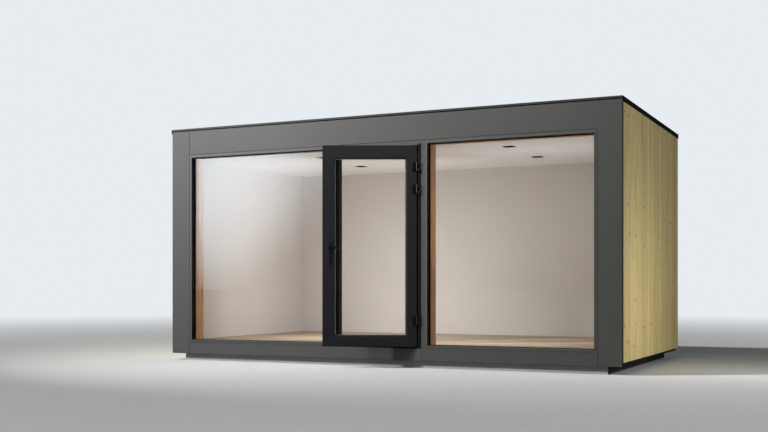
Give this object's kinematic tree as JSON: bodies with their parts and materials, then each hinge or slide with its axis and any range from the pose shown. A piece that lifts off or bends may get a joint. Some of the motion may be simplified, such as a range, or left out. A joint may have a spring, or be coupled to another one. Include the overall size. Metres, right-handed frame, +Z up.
{
  "type": "garden office pod",
  "caption": "Flat-roofed garden office pod with a fully glazed grey front, an outward-opening glass door, pale vertical timber side walls and a recessed plinth.",
  "frame": {"origin": "middle of the base on the ground", "axes": "+X along the glazed front, to the right when seen from outside; +Y from the front to the back; +Z up"},
  "size_m": [5.012, 3.1917, 2.547],
  "materials": {
    "grey_aluminium": "satin anthracite powder coat",
    "black_aluminium": "satin black powder coat",
    "plinth_paint": "matt grey paint",
    "wall_core": "insulated timber cassette behind a black membrane",
    "floor_wood": "pale oak boards, matt lacquer",
    "wall_paint": "painted plasterboard, matt warm grey",
    "ceiling_paint": "painted plasterboard, matt off-white",
    "pine_boards": "planed pale softwood boards, clear oil",
    "reveal_wood": "warm brown timber, satin lacquer",
    "glass": "clear sealed double glazing",
    "roof_rubber": "black roofing membrane"
  },
  "bodies": {
    "pod": {"ceiling_lights": "black_aluminium", "ceiling_panel": "ceiling_paint", "centre_bearer": "plinth_paint", "door_head": "black_aluminium", "door_threshold": "black_aluminium", "fascia": "grey_aluminium", "floor_boards": "floor_wood", "floor_panel": "wall_core", "front_lintel": "wall_paint", "front_plinth": "plinth_paint", "front_roof_trim": "grey_aluminium", "hinge_frame_flaps": "black_aluminium", "left_boards": "pine_boards", "left_corner_panel": "grey_aluminium", "left_door_jamb": "black_aluminium", "left_lining": "wall_paint", "left_mullion": "grey_aluminium", "left_plinth": "plinth_paint", "left_roof_trim": "black_aluminium", "left_wall": "wall_core", "left_window_frame": "grey_aluminium", "left_window_glass": "glass", "left_window_reveal": "reveal_wood", "rear_boards": "pine_boards", "rear_lining": "wall_paint", "rear_plinth": "plinth_paint", "rear_roof_trim": "black_aluminium", "rear_wall": "wall_core", "right_boards": "pine_boards", "right_corner_panel": "grey_aluminium", "right_door_jamb": "black_aluminium", "right_lining": "wall_paint", "right_mullion": "grey_aluminium", "right_plinth": "plinth_paint", "right_roof_trim": "black_aluminium", "right_wall": "wall_core", "right_window_frame": "grey_aluminium", "right_window_glass": "glass", "right_window_reveal": "reveal_wood", "roof_deck": "wall_core", "roof_membrane": "roof_rubber", "sill_panels": "grey_aluminium"},
    "door": {"door_leaf": "black_aluminium", "door_glass": "glass", "door_handle_plates": "black_aluminium", "hinge_leaf_flaps": "black_aluminium"},
    "lever": {"door_lever": "black_aluminium"}
  },
  "joints": [
    {"name": "door_swing", "type": "hinge", "parent": "pod", "child": "door", "pos_m": [0.4725, -1.398, 0.216], "axis": [0, 0, 1], "range_deg": [-25.5, 64.5]},
    {"name": "lever_turn", "type": "hinge", "parent": "door", "child": "lever", "pos_m": [-0.34371, -1.7297, 1.191], "axis": [-0.4305, 0.9026, 0], "range_deg": [0, 45]}
  ]
}
